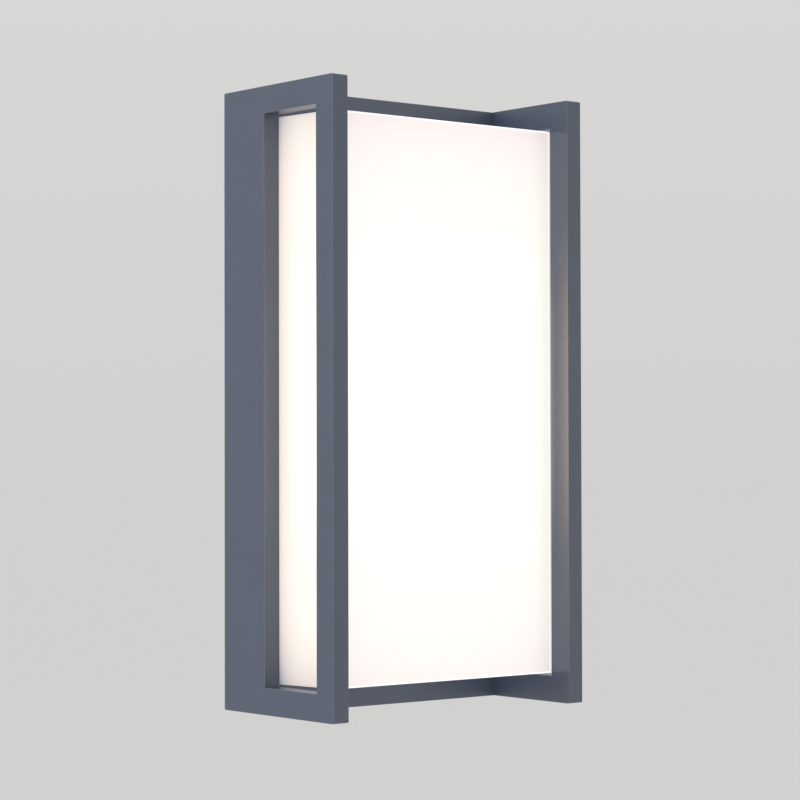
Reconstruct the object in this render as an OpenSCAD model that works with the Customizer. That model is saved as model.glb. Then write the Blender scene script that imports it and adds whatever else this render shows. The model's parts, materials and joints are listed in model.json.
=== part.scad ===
// Outdoor wall lantern: a shallow cast housing between two window-pane side frames,
// with an opal box diffuser over a light-emitting board, hung on a steel wall bracket.
// Millimetres. +Z is up, the wall is the plane y = 0, and the lantern faces -Y.
// The origin is the centre of the bracket's cable hole, on the wall.

/* [Lantern] */
// Height of the lantern
lantern_h = 305; // [250:1:400]
// Width over both side frames
lantern_w = 159; // [132:1:220]
// Depth from the wall to the front of the side frames
lantern_d = 88; // [72:1:120]

/* [Side frames] */
// Thickness of each side frame
frame_t = 9; // [6:0.1:14]
// Height of a frame's top and bottom rail
rail_h = 13.2; // [8:0.1:24]
// Depth of a frame's front stile
front_stile = 13; // [8:0.5:16]
// Depth of a frame's rear stile
rear_stile = 33.4; // [31:0.1:42]
// Radius of a frame's outer corners
frame_corner_r = 1; // [0.5:0.1:5]

/* [Back housing] */
// Depth of the housing's front face from the wall
housing_d = 30.3; // [25.3:0.1:36]
// Thickness of the housing's rim walls
rim_t = 3; // [2:0.1:4]
// Thickness of the housing's front wall
front_wall_t = 4; // [3.2:0.1:6]
// Thickness of the foam gasket between the housing and the wall
wall_gasket_t = 1.5; // [0.8:0.1:2.5]

/* [Diffuser] */
// Wall thickness of the diffuser at its front
diffuser_t = 2.5; // [1.6:0.1:3.2]
// Gap between the diffuser and each side frame
diffuser_side_gap = 0.9; // [0.6:0.1:3]
// Set-back of the diffuser's front from the front of the frames
diffuser_setback = 11.6; // [6:0.1:20]
// Height of housing that shows above and below the diffuser
diffuser_reveal = 14; // [10:0.1:24]
// How far the outside of each of the diffuser's sides leans in from its rim to its front
diffuser_draft = 0.9; // [0:0.1:1.5]
// Outer radius of the diffuser's upright corners
diffuser_corner_r = 1; // [0.5:0.1:2]
// Thickness of the silicone gasket under the diffuser's rim
diffuser_gasket_t = 1.5; // [1:0.1:2]

/* [Wall bracket] */
// Sheet thickness of the wall bracket
bracket_t = 2; // [1.5:0.1:3]
// Width of the bracket's upright strap
strap_w = 40; // [34:1:44]
// Radius of the cable hole in the bracket
cable_hole_r = 14; // [10:0.5:15]
// Distance between the junction box slots
box_slot_spacing = 79.4; // [76:0.1:82]
// Length of each junction box slot, end to end
box_slot_l = 14.4; // [8:0.1:14.4]
// Width of a junction box slot
box_slot_w = 4.8; // [4.2:0.1:5.4]
// Radius of the two wall screw holes
wall_hole_r = 2.5; // [2:0.1:3]
// Reach of the bracket's tabs into the housing
tab_reach = 15; // [14:0.5:18]

/* [Light board] */
// Distance between neighbouring light chips
chip_pitch = 27; // [22:0.5:32]
// Thickness of the light board
board_t = 1.6; // [1:0.1:2]
// Thickness of the reflector sheet
reflector_t = 0.8; // [0.5:0.1:1.2]

/* [Driver] */
// Length of the driver case
driver_l = 84; // [70:1:90]
// Width of the driver case
driver_w = 36; // [30:1:40]
// Thickness of the driver case with its lid
driver_h = 19; // [15.8:0.1:22.8]

/* [Hidden] */
$fn = 48;

// Overcut of a cutting tool past the face that it cuts
cut = 1;
// Radial clearance of a thread, drawn as a plain shank in a plain hole
thread_fit = 0.05;
// Radial clearance of a screw in a through hole
through_fit = 0.3;
// Gap between the bracket's tabs and the housing that slides over them
slide_fit = 0.3;
// Room left past the tip of a screw in a blind hole, for short and for longer screws
tip_gap = 0.5;
long_tip_gap = 1;
// How far a boss is sunk into the wall that it stands on
boss_sink = 1;

// Screw heads: radius, height, width of the six-sided key recess
lock_head = [3.6, 2.6, 2.5];
earth_head = [3.6, 2.4, 2.5];
frame_head = [3.5, 2.4, 2.5];
small_head = [2.8, 2, 2];
// Share of a head's height that is left under its key recess
recess_floor = 0.4;

// Colours
anthracite = "#5c6472";
zinc = "#b9bcbe";
earth_green = "#2f8a4b";
foam = "#2b2b2d";
silicone = "#d9d9d4";
opal = "#fdf8f0";
white_plastic = "#f1f1ee";
bright_white = "#fafafa";
board_green = "#1f6b43";
phosphor = "#f2d45c";

// Housing
housing_w = lantern_w - 2 * frame_t;
cavity_w = housing_w - 2 * rim_t;
cavity_h = lantern_h - 2 * rim_t;
front_wall_back = -(housing_d - front_wall_t);
housing_front = -housing_d;

// Diffuser
diffuser_w = housing_w - 2 * diffuser_side_gap;
diffuser_h = lantern_h - 2 * diffuser_reveal;
diffuser_front = -(lantern_d - diffuser_setback);
groove_depth = 2;
groove_margin = 0.3;
diffuser_back = housing_front + groove_depth - diffuser_gasket_t;
diffuser_l = diffuser_back - diffuser_front;
diffuser_rim_t = diffuser_t + diffuser_draft;
diffuser_boss_r = 3.2;
diffuser_boss_l = 10;
diffuser_boss_gap = 1.4;
diffuser_rib_t = 2;
diffuser_boss_inset = diffuser_rim_t + diffuser_boss_r + diffuser_boss_gap;
diffuser_boss_x = diffuser_w / 2 - diffuser_boss_inset;
diffuser_boss_z = diffuser_h / 2 - diffuser_boss_inset;
diffuser_boss_places = [for (x = [-1, 1], z = [-1, 0, 1]) [x * diffuser_boss_x, z * diffuser_boss_z]];
diffuser_screw_r = 1.45;
diffuser_screw_bite = 7;

// Bracket tabs and the locking screws under the lantern
pocket_depth = 3.2;
pocket_floor = 2.3;
pocket_w = 12;
pocket_rim = 3;
lock_y = -9;
lock_x = 26;
lock_r = 2;
lock_l = 9;
lock_notch_r = lock_r + through_fit;
pocket_l = -lock_y + lock_head[0] + 1.4;
top_tab_face = lantern_h / 2 - rim_t - slide_fit;
bottom_tab_face = -lantern_h / 2 + pocket_depth + pocket_floor + slide_fit;
foot_margin = 12;
foot_w = 2 * (lock_x + foot_margin);
foot_h = 7;
box_slot_margin = 4.1;
bracket_mid_w = box_slot_spacing + box_slot_l + 2 * box_slot_margin;
bracket_mid_h = 60;
bracket_corner_r = 4;
wall_screw_inset = 32.5;
wall_screw_spacing = lantern_h - 2 * wall_screw_inset;
earth_hole_z = -30;
earth_hole_x = 12;

// Screws that join the side frames to the housing
frame_screw_r = 2;
frame_screw_cover = 1.4;
frame_hole_l = frame_t - frame_screw_cover;
frame_screw_bite = frame_hole_l - long_tip_gap;
frame_screw_end = 22;
frame_screw_mid = 50;
frame_screw_y = -14;
frame_screw_places = [for (z = [-1, 1]) each [z * (lantern_h / 2 - frame_screw_end), z * frame_screw_mid]];

// Light board
board_margin = [19.6, 26.5];
board_w = diffuser_w - 2 * board_margin[0];
board_h = diffuser_h - 2 * board_margin[1];
board_front = housing_front - board_t;
reflector_front = board_front - reflector_t;
reflector_gap = 1;
reflector_w = diffuser_w - 2 * (diffuser_rim_t + reflector_gap);
reflector_h = diffuser_h - 2 * (diffuser_rim_t + reflector_gap);
boss_gap = 0.6;
board_screw_r = 1.5;
board_screw_bite = 3;
board_screw_inset = [4, 6];
board_screw_places = [for (x = [-1, 1], z = [-1, 0, 1])
    [x * (board_w / 2 - board_screw_inset[0]), z * (board_h / 2 - board_screw_inset[1])]];
chip_size = [2.8, 0.8, 3.5];
chip_margin = 8;
chip_window_r = 3.2;
function chip_steps(span) = floor((span / 2 - chip_margin) / chip_pitch - 0.5);
function chip_row(span) = [for (i = [0:chip_steps(span)], s = [-1, 1]) s * (i + 0.5) * chip_pitch];
chip_places = [for (x = chip_row(board_w), z = chip_row(board_h)) [x, z]];
connector_size = [9, 4.5, 12];
connector_centre_z = 56;
connector_entry_l = 4;
connector_entry_r = 1.1;
connector_entry_y = -4;
opening_gap = 0.5;
notch_run = 6;

// Driver
driver_bottom = 18;
driver_back = front_wall_back + driver_h;
driver_wall = 1.6;
driver_lid_t = 2;
driver_top = driver_bottom + driver_l;
driver_ear = 7;
driver_ear_w = 14;
driver_ear_t = 3;
driver_mid = driver_bottom + driver_l / 2;
driver_screw_r = 1.5;
driver_screw_bite = 3;
driver_screw_places = [driver_bottom - driver_ear / 2, driver_top + driver_ear / 2];
driver_lead_hole_r = 1.6;
driver_board_y = front_wall_back + 6;
driver_board_t = 1.6;
driver_board_gap = 0.5;
driver_peg_r = 1.5;
driver_peg_inset = [5, 6];
driver_lip = [0.2, 1.5, 1.5];
transformer_size = [14, 6, 16];
capacitor_r = 3.5;
capacitor_l = 12;
capacitor_inset = 16;

// Terminal block
terminal_size = [34, 16, 20];
terminal_mid = -50;
terminal_pitch = 11;
terminal_entry_r = 1.7;
terminal_entry_y = front_wall_back + 7;
terminal_bore_l = 8;
terminal_clamp_inset = 5;
terminal_screw_r = 1.5;
terminal_recess_r = 3.1;
terminal_recess_l = 6;
clamp_sink = 1;
clamp_slot = [0.6, 0.8];
terminal_back = front_wall_back + terminal_size[1];

// Earth connection on the housing
earth_point = [38, -18];
earth_screw_r = 2;
earth_boss_r = 5;
earth_boss_l = 3;
earth_screw_bite = 4;
ring_r = 4;
ring_t = 0.8;
barrel_r = 1.9;
barrel_bore_r = 1.35;
barrel_l = 5.6;
barrel_end = 10;
barrel_y = 5.1;
tongue_size = [5, ring_t, 3];
tongue_lap = 2;

// Leads. Routes inside the housing are measured from the inner face of its front wall,
// and routes in the light chamber from the housing's front face.
lead_r = 1.2;
led_lead_r = 0.8;
led_lead_gap = 3;
grommet_place = [31.5, 78];
grommet_r = 4;
grommet_flange_r = 5.5;
grommet_flange_t = 1.2;
grommet_bore_r = 2.8;
mains_exits = [-8, 8];
led_exits = [6, 9.5];
driver_lead_y = 7.3;
lead_steps = 2;
lead_sides = 8;
inside = [0, front_wall_back, 0];
outside = [0, housing_front, 0];

line_route = [[-8, 7.3, 24], [-8, 7.3, 10], [-9, 7, -8], [-11, 7, -22], [-11, 7, -34], [-11, 7, -46]];
neutral_route = [[8, 7.3, 24], [8, 7.3, 10], [6, 7, -8], [1, 7, -22], [0, 7, -34], [0, 7, -46]];
earth_route = [[11, 7, -46], [11, 7, -35], [14, 7, -25], [20, 6, -19], [26, 5.1, -18], [33, 5.1, -18]];
positive_route = [[9.5, 7, driver_top - 6], [9.5, 7, driver_top + 3], [15, 8, driver_top + 9],
    [25, 9, driver_top + 7], [30, 9, driver_top], [30, 8, (driver_top + 82) / 2], [30, 5, 82], [30, 1, 78]];
negative_route = [[6, 7, driver_top - 6], [6, 7, driver_top + 6], [14, 8, driver_top + 14],
    [27, 9, driver_top + 12], [33, 9, driver_top + 2], [33, 8, (driver_top + 84) / 2], [33, 5, 82],
    [33, 1, 78]];
board_route = [[30, -1, 78], [30, -6, 76], [30, -7, 70], [30, connector_entry_y, 65],
    [30, connector_entry_y, 59]];

// ---------- shared shapes ----------

// Flat shape with round corners, centred on the origin
module round_rect(size, r) {
    square([size[0] - 2 * r, size[1]], center = true);
    square([size[0], size[1] - 2 * r], center = true);
    for (x = [-1, 1], y = [-1, 1])
        translate([x * (size[0] / 2 - r), y * (size[1] / 2 - r)]) circle(r);
}

// A shape drawn in x and z, as thick as t, from y = back towards the front
module plate_from(back, t) {
    translate([0, back, 0]) rotate([90, 0, 0]) linear_extrude(t) children();
}

// A block centred on x = 0 and z = mid, from y = back towards the front
module block_from(back, size, mid = 0) {
    translate([-size[0] / 2, back - size[1], mid - size[2] / 2]) cube(size);
}

// A round bar along -Y from y = back
module bar_from(place, back, l, r) {
    translate([place[0], back, place[1]]) rotate([90, 0, 0]) cylinder(h = l, r = r);
}

// Pan-head screw along +Z: the underside of the head is at z = 0 and the shank hangs below it
module pan_screw(r, l, head) {
    translate([0, 0, -l]) cylinder(h = l, r = r);
    difference() {
        cylinder(h = head[1], r = head[0]);
        translate([0, 0, head[1] * recess_floor]) cylinder(h = head[1], r = head[2] / sqrt(3), $fn = 6);
    }
}

// ---------- swept leads ----------

function unit(v) = v / norm(v);

function blend_point(a, b, c, d, t) = 0.5 * (2 * b + (c - a) * t
    + (2 * a - 5 * b + 4 * c - d) * t * t + (3 * b - a - 3 * c + d) * t * t * t);

// The points of a smooth line through the route's points
function smooth_line(route) = let (last = len(route) - 1) [
    for (i = [0:last - 1], j = [0:lead_steps - 1])
        blend_point(route[max(i - 1, 0)], route[i], route[i + 1], route[min(i + 2, last)], j / lead_steps),
    route[last]];

function direction(line, i) = unit(line[min(i + 1, len(line) - 1)] - line[max(i - 1, 0)]);

// A sideways direction for each point, carried along the line without twist
function sideways(line, i, side) = i == len(line) ? [] :
    let (d = direction(line, i), s = unit(side - (side * d) * d)) concat([s], sideways(line, i + 1, s));

function moved(route, shift) = [for (p = route) p + shift];

// A tube of radius r along the route
module lead(route, r) {
    line = smooth_line(route);
    side = sideways(line, 0, [1, 0, 0]);
    rings = len(line);
    around = [for (k = [0:lead_sides - 1]) k * 360 / lead_sides];
    points = [for (i = [0:rings - 1], a = around)
        line[i] + r * (cos(a) * side[i] + sin(a) * cross(direction(line, i), side[i]))];
    sides = [for (i = [0:rings - 2], k = [0:lead_sides - 1])
        let (n = (k + 1) % lead_sides, a = i * lead_sides, b = a + lead_sides)
        each [[a + k, b + k, b + n], [a + k, b + n, a + n]]];
    near_cap = [for (k = [1:lead_sides - 2]) [0, k, k + 1]];
    far = (rings - 1) * lead_sides;
    far_cap = [for (k = [1:lead_sides - 2]) [far, far + k + 1, far + k]];
    polyhedron(points = points, faces = concat(sides, near_cap, far_cap), convexity = 6);
}

// ---------- wall bracket ----------

module bracket_outline() {
    bracket_h = top_tab_face - bottom_tab_face;
    mid = (top_tab_face + bottom_tab_face) / 2;
    translate([0, mid]) square([strap_w, bracket_h], center = true);
    round_rect([bracket_mid_w, bracket_mid_h], bracket_corner_r);
    translate([0, bottom_tab_face + foot_h / 2]) square([foot_w, foot_h], center = true);
}

module box_slot() {
    half = (box_slot_l - box_slot_w) / 2;
    square([2 * half, box_slot_w], center = true);
    for (x = [-half, half]) translate([x, 0]) circle(box_slot_w / 2);
}

module mounting_bracket() {
    color(zinc) difference() {
        union() {
            plate_from(0, bracket_t) bracket_outline();
            translate([-strap_w / 2, -tab_reach, top_tab_face - bracket_t])
                cube([strap_w, tab_reach, bracket_t]);
            translate([-foot_w / 2, -tab_reach, bottom_tab_face]) cube([foot_w, tab_reach, bracket_t]);
        }
        bar_from([0, 0], cut, bracket_t + 2 * cut, cable_hole_r);
        for (x = [-1, 1]) translate([x * box_slot_spacing / 2, 0, 0])
            plate_from(cut, bracket_t + 2 * cut) box_slot();
        for (z = [-1, 1]) bar_from([0, z * wall_screw_spacing / 2], cut, bracket_t + 2 * cut, wall_hole_r);
        bar_from([earth_hole_x, earth_hole_z], cut, bracket_t + 2 * cut, earth_screw_r + thread_fit);
        for (x = [-lock_x, lock_x]) translate([x, lock_y, bottom_tab_face - cut])
            cylinder(h = bracket_t + 2 * cut, r = lock_r + thread_fit);
    }
}

// The screws stand head down in the pockets under the lantern
module locking_screws() {
    color(zinc) for (x = [-lock_x, lock_x])
        translate([x, lock_y, bottom_tab_face - pocket_floor - 2 * slide_fit]) rotate([180, 0, 0])
            pan_screw(lock_r, lock_l, lock_head);
}

module bracket_earth_screw() {
    color(earth_green) translate([earth_hole_x, -bracket_t, earth_hole_z]) rotate([90, 0, 0])
        pan_screw(earth_screw_r, bracket_t, earth_head);
}

// ---------- housing ----------

module lock_pocket_boss() {
    l = pocket_l + pocket_rim - wall_gasket_t;
    w = pocket_w + 2 * pocket_rim;
    translate([-w / 2, -wall_gasket_t - l, -lantern_h / 2]) cube([w, l, pocket_depth + pocket_floor]);
}

module lock_pocket() {
    translate([-pocket_w / 2, -pocket_l, -lantern_h / 2 - cut]) cube([pocket_w, pocket_l, pocket_depth + cut]);
    translate([-lock_notch_r, lock_y, -lantern_h / 2])
        cube([2 * lock_notch_r, -lock_y, pocket_depth + pocket_floor + cut]);
    translate([0, lock_y, -lantern_h / 2]) cylinder(h = pocket_depth + pocket_floor + cut, r = lock_notch_r);
}

module back_housing() {
    color(anthracite) difference() {
        union() {
            difference() {
                block_from(-wall_gasket_t, [housing_w, housing_d - wall_gasket_t, lantern_h]);
                block_from(cut, [cavity_w, cut - front_wall_back, cavity_h]);
            }
            for (x = [-lock_x, lock_x]) translate([x, 0, 0]) lock_pocket_boss();
            bar_from(earth_point, front_wall_back + earth_boss_l, earth_boss_l + boss_sink, earth_boss_r);
        }
        for (x = [-lock_x, lock_x]) translate([x, 0, 0]) lock_pocket();
        plate_from(housing_front + groove_depth, groove_depth + cut) difference() {
            groove = diffuser_rim_t + 2 * groove_margin;
            w = diffuser_w + 2 * groove_margin;
            h = diffuser_h + 2 * groove_margin;
            square([w, h], center = true);
            square([w - 2 * groove, h - 2 * groove], center = true);
        }
        for (p = diffuser_boss_places)
            bar_from(p, front_wall_back + cut, front_wall_t + 2 * cut, diffuser_screw_r + through_fit);
        for (p = board_screw_places)
            bar_from(p, housing_front + board_screw_bite, board_screw_bite + cut, board_screw_r + thread_fit);
        for (z = driver_screw_places)
            bar_from([0, z], front_wall_back + cut, driver_screw_bite + cut, driver_screw_r + thread_fit);
        for (x = [-1, 1])
            bar_from([x * terminal_pitch / 2, terminal_mid], front_wall_back + cut, driver_screw_bite + cut,
                terminal_screw_r + thread_fit);
        bar_from(earth_point, front_wall_back + earth_boss_l + cut, earth_screw_bite + long_tip_gap + cut,
            earth_screw_r + thread_fit);
        bar_from(grommet_place, front_wall_back + cut, front_wall_t + 2 * cut, grommet_r);
        for (z = frame_screw_places) translate([-housing_w / 2 - cut, frame_screw_y, z]) rotate([0, 90, 0])
            cylinder(h = housing_w + 2 * cut, r = frame_screw_r + through_fit);
    }
}

// The foam seal is open below, so that water can drain
module wall_gasket() {
    color(foam) difference() {
        block_from(0, [housing_w, wall_gasket_t, lantern_h]);
        block_from(cut, [cavity_w, wall_gasket_t + 2 * cut, cavity_h]);
        block_from(cut, [2 * lock_x + pocket_w + 2 * pocket_rim, wall_gasket_t + 2 * cut, 2 * rim_t + 2 * cut],
            -lantern_h / 2 - cut);
    }
}

// ---------- side frames ----------

// Outline of a frame seen from its side: the first axis runs forward from the wall
module frame_outline() {
    window = [lantern_d - rear_stile - front_stile, lantern_h - 2 * rail_h];
    difference() {
        translate([lantern_d / 2, 0]) round_rect([lantern_d, lantern_h], frame_corner_r);
        translate([rear_stile + window[0] / 2, 0]) square(window, center = true);
    }
}

// A frame for the side where the outside is towards side * X
module side_frame(side) {
    color(anthracite) difference() {
        translate([side * housing_w / 2, 0, 0]) mirror([side < 0 ? 1 : 0, 0, 0])
            rotate([90, 0, -90]) mirror([0, 0, 1]) linear_extrude(frame_t) frame_outline();
        for (z = frame_screw_places)
            translate([side * (housing_w / 2 - cut), frame_screw_y, z]) rotate([0, side * 90, 0])
                cylinder(h = frame_hole_l + cut, r = frame_screw_r + thread_fit);
    }
}

module frame_screws() {
    color(zinc) for (side = [-1, 1], z = frame_screw_places)
        translate([side * cavity_w / 2, frame_screw_y, z]) rotate([0, -side * 90, 0])
            pan_screw(frame_screw_r, rim_t + frame_screw_bite, frame_head);
}

// ---------- driver ----------

module driver_lead_hole(x, z) {
    translate([x, front_wall_back + driver_lead_y, z])
        cylinder(h = 4 * driver_wall, r = driver_lead_hole_r, center = true);
}

module driver_case() {
    case_h = driver_h - driver_lid_t;
    ears = [driver_ear_w, driver_ear_t, driver_l + 2 * driver_ear];
    hollow = [driver_w - 2 * driver_wall, driver_h - driver_wall, driver_l - 2 * driver_wall];
    color(white_plastic) difference() {
        union() {
            block_from(driver_back - driver_lid_t, [driver_w, case_h, driver_l], driver_mid);
            block_from(front_wall_back + driver_ear_t, ears, driver_mid);
        }
        block_from(driver_back, hollow, driver_mid);
        for (z = driver_screw_places)
            bar_from([0, z], front_wall_back + driver_ear_t + cut, driver_ear_t + 2 * cut,
                driver_screw_r + through_fit);
        for (x = mains_exits) driver_lead_hole(x, driver_bottom);
        for (x = led_exits) driver_lead_hole(x, driver_top);
    }
}

module driver_lid() {
    lip = [driver_w, 0, driver_l] - 2 * (driver_wall + driver_lip[0]) * [1, 0, 1] + [0, driver_lip[1], 0];
    color(white_plastic) {
        block_from(driver_back, [driver_w, driver_lid_t, driver_l], driver_mid);
        difference() {
            block_from(driver_back - driver_lid_t, lip, driver_mid);
            block_from(driver_back - driver_lid_t + cut,
                lip - 2 * driver_lip[2] * [1, 0, 1] + [0, 2 * cut, 0], driver_mid);
        }
    }
}

// The board stands on four pegs
module driver_board() {
    board = [driver_w, 0, driver_l] - 2 * (driver_wall + driver_board_gap) * [1, 0, 1] + [0, driver_board_t, 0];
    underside = driver_board_y - driver_board_t;
    color(board_green) {
        block_from(driver_board_y, board, driver_mid);
        for (x = [-1, 1], z = [-1, 1]) {
            place = [x * (driver_w / 2 - driver_peg_inset[0]), driver_mid + z * (driver_l / 2 - driver_peg_inset[1])];
            bar_from(place, underside, underside - front_wall_back - driver_wall, driver_peg_r);
        }
    }
}

module driver_transformer() {
    color("#d8b64a") block_from(driver_board_y + transformer_size[1], transformer_size, driver_mid);
}

module driver_capacitors() {
    color("#2c2f36") for (z = [-1, 1])
        translate([0, driver_board_y + capacitor_r, driver_mid + z * (driver_l / 2 - capacitor_inset)])
            rotate([0, 90, 0]) cylinder(h = capacitor_l, r = capacitor_r, center = true);
}

module driver_screws() {
    color(zinc) for (z = driver_screw_places)
        translate([0, front_wall_back + driver_ear_t, z]) rotate([-90, 0, 0])
            pan_screw(driver_screw_r, driver_ear_t + driver_screw_bite - tip_gap, small_head);
}

// ---------- terminal block and earth ----------

module terminal_block() {
    half = terminal_size[2] / 2;
    color(white_plastic) difference() {
        block_from(terminal_back, terminal_size, terminal_mid);
        for (x = [-1:1], s = [-1, 1]) {
            translate([x * terminal_pitch, terminal_entry_y, terminal_mid + s * (half + cut)])
                rotate([90 - s * 90, 0, 0]) mirror([0, 0, 1])
                    cylinder(h = terminal_bore_l + cut, r = terminal_entry_r);
            bar_from([x * terminal_pitch, terminal_mid + s * (half - terminal_clamp_inset)], terminal_back + cut,
                terminal_back + cut - terminal_entry_y, terminal_screw_r + thread_fit);
        }
        for (x = [-1, 1]) {
            place = [x * terminal_pitch / 2, terminal_mid];
            bar_from(place, terminal_back + cut, terminal_size[1] + 2 * cut, terminal_screw_r + through_fit);
            bar_from(place, terminal_back + cut, terminal_recess_l + cut, terminal_recess_r);
        }
    }
}

module terminal_clamp_screws() {
    reach = terminal_back - clamp_sink - (terminal_entry_y + lead_r) - thread_fit;
    color(zinc) for (x = [-1:1], s = [-1, 1])
        translate([x * terminal_pitch, terminal_back - clamp_sink,
            terminal_mid + s * (terminal_size[2] / 2 - terminal_clamp_inset)]) rotate([-90, 0, 0]) difference() {
                translate([0, 0, -reach]) cylinder(h = reach, r = terminal_screw_r);
                translate([-clamp_slot[0] / 2, -terminal_screw_r - cut, -clamp_slot[1]])
                    cube([clamp_slot[0], 2 * (terminal_screw_r + cut), clamp_slot[1] + cut]);
            }
}

module terminal_block_screws() {
    seat = terminal_back - terminal_recess_l;
    color(zinc) for (x = [-1, 1])
        translate([x * terminal_pitch / 2, seat, terminal_mid]) rotate([-90, 0, 0])
            pan_screw(terminal_screw_r, seat - front_wall_back + driver_screw_bite - tip_gap, small_head);
}

// Ring terminal with a crimped barrel round the end of the lead
module earth_ring() {
    seat = front_wall_back + earth_boss_l;
    start = earth_point[0] - barrel_end;
    color(zinc) difference() {
        union() {
            bar_from(earth_point, seat + ring_t, ring_t, ring_r);
            translate([start + barrel_l - tongue_lap, seat, earth_point[1] - tongue_size[2] / 2]) cube(tongue_size);
            translate([start, front_wall_back + barrel_y, earth_point[1]]) rotate([0, 90, 0])
                cylinder(h = barrel_l, r = barrel_r);
        }
        translate([start - cut, front_wall_back + barrel_y, earth_point[1]]) rotate([0, 90, 0])
            cylinder(h = barrel_l + 2 * cut, r = barrel_bore_r);
        bar_from(earth_point, seat + ring_t + cut, ring_t + 2 * cut, earth_screw_r + through_fit);
    }
}

module housing_earth_screw() {
    color(earth_green) translate([earth_point[0], front_wall_back + earth_boss_l + ring_t, earth_point[1]])
        rotate([-90, 0, 0]) pan_screw(earth_screw_r, ring_t + earth_screw_bite, earth_head);
}

module line_lead() { color("#1d1d1f") lead(moved(line_route, inside), lead_r); }

module neutral_lead() { color("#ececea") lead(moved(neutral_route, inside), lead_r); }

module earth_lead() { color(earth_green) lead(moved(earth_route, inside), lead_r); }

// ---------- light board ----------

module lead_grommet() {
    color(foam) difference() {
        union() {
            bar_from(grommet_place, front_wall_back + grommet_flange_t,
                front_wall_t + 2 * grommet_flange_t, grommet_r - thread_fit);
            bar_from(grommet_place, front_wall_back + grommet_flange_t, grommet_flange_t, grommet_flange_r);
            bar_from(grommet_place, housing_front, grommet_flange_t, grommet_flange_r);
        }
        bar_from(grommet_place, front_wall_back + grommet_flange_t + cut,
            front_wall_t + 2 * grommet_flange_t + 2 * cut, grommet_bore_r);
    }
}

module led_lead_positive() {
    color("#b3282d") lead(concat(moved(positive_route, inside), moved(board_route, outside)), led_lead_r);
}

module led_lead_negative() {
    gap = [led_lead_gap, 0, 0];
    color("#1d1d1f") lead(concat(moved(negative_route, inside), moved(board_route, outside + gap)), led_lead_r);
}

module led_board() {
    color(bright_white) difference() {
        plate_from(housing_front, board_t) square([board_w, board_h], center = true);
        for (p = board_screw_places)
            bar_from(p, housing_front + cut, board_t + 2 * cut, board_screw_r + through_fit);
        bar_from(grommet_place, housing_front + cut, board_t + 2 * cut, grommet_flange_r + opening_gap);
    }
}

module led_chips() {
    color(phosphor) for (p = chip_places)
        translate([p[0] - chip_size[0] / 2, board_front - chip_size[1], p[1] - chip_size[2] / 2]) cube(chip_size);
}

module led_connector() {
    top = connector_centre_z + connector_size[2] / 2;
    color(white_plastic) difference() {
        translate([grommet_place[0], 0, 0]) block_from(board_front, connector_size, connector_centre_z);
        for (x = [-1, 1])
            translate([grommet_place[0] + x * led_lead_gap / 2, housing_front + connector_entry_y, top - connector_entry_l])
                cylinder(h = connector_entry_l + cut, r = connector_entry_r);
    }
}

module reflector_sheet() {
    color(bright_white) difference() {
        plate_from(board_front, reflector_t) square([reflector_w, reflector_h], center = true);
        for (x = [-1, 1], z = [-1, 0, 1])
            translate([x * (diffuser_boss_x + notch_run), 0, 0])
                block_from(board_front + cut, [2 * (diffuser_boss_r + boss_gap + notch_run), reflector_t + 2 * cut,
                    2 * (diffuser_boss_r + boss_gap + abs(z) * notch_run)], z * (diffuser_boss_z + notch_run));
        for (p = board_screw_places)
            bar_from(p, board_front + cut, reflector_t + 2 * cut, board_screw_r + through_fit);
        for (p = chip_places) bar_from(p, board_front + cut, reflector_t + 2 * cut, chip_window_r);
        bar_from(grommet_place, board_front + cut, reflector_t + 2 * cut, grommet_flange_r + opening_gap);
        translate([grommet_place[0], 0, 0])
            block_from(board_front + cut, [connector_size[0] + 2 * opening_gap, reflector_t + 2 * cut,
                connector_size[2] + 2 * opening_gap], connector_centre_z);
    }
}

module led_board_screws() {
    color(zinc) for (p = board_screw_places)
        translate([p[0], reflector_front, p[1]]) rotate([90, 0, 0])
            pan_screw(board_screw_r, reflector_t + board_t + board_screw_bite - tip_gap, small_head);
}

// ---------- diffuser ----------

module diffuser_ring(w, h, t) {
    difference() {
        square([w, h], center = true);
        square([w - 2 * t, h - 2 * t], center = true);
    }
}

module diffuser_gasket() {
    color(silicone) plate_from(housing_front + groove_depth, diffuser_gasket_t)
        diffuser_ring(diffuser_w, diffuser_h, diffuser_rim_t);
}

// The outside leans in towards the front, and the inside is straight
module diffuser() {
    rim = [diffuser_w, diffuser_h];
    front = rim - 2 * [diffuser_draft, diffuser_draft];
    inside_size = rim - 2 * [diffuser_rim_t, diffuser_rim_t];
    color(opal) difference() {
        union() {
            difference() {
                translate([0, diffuser_back, 0]) rotate([90, 0, 0])
                    linear_extrude(diffuser_l, slices = 1, scale = [front[0] / rim[0], front[1] / rim[1]])
                        round_rect(rim, diffuser_corner_r);
                plate_from(diffuser_back + cut, diffuser_l + cut - diffuser_t) square(inside_size, center = true);
            }
            for (p = diffuser_boss_places) {
                bar_from(p, housing_front, diffuser_boss_l, diffuser_boss_r);
                rib_l = diffuser_boss_inset - diffuser_rim_t / 2;
                translate([p[0] > 0 ? p[0] : p[0] - rib_l, housing_front - diffuser_boss_l, p[1] - diffuser_rib_t / 2])
                    cube([rib_l, diffuser_boss_l, diffuser_rib_t]);
            }
        }
        for (p = diffuser_boss_places)
            bar_from(p, housing_front + cut, diffuser_screw_bite + long_tip_gap + cut, diffuser_screw_r + thread_fit);
    }
}

module diffuser_screws() {
    color(zinc) for (p = diffuser_boss_places)
        translate([p[0], front_wall_back, p[1]]) rotate([-90, 0, 0])
            pan_screw(diffuser_screw_r, front_wall_t + diffuser_screw_bite, small_head);
}

// ---------- nodes ----------

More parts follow.
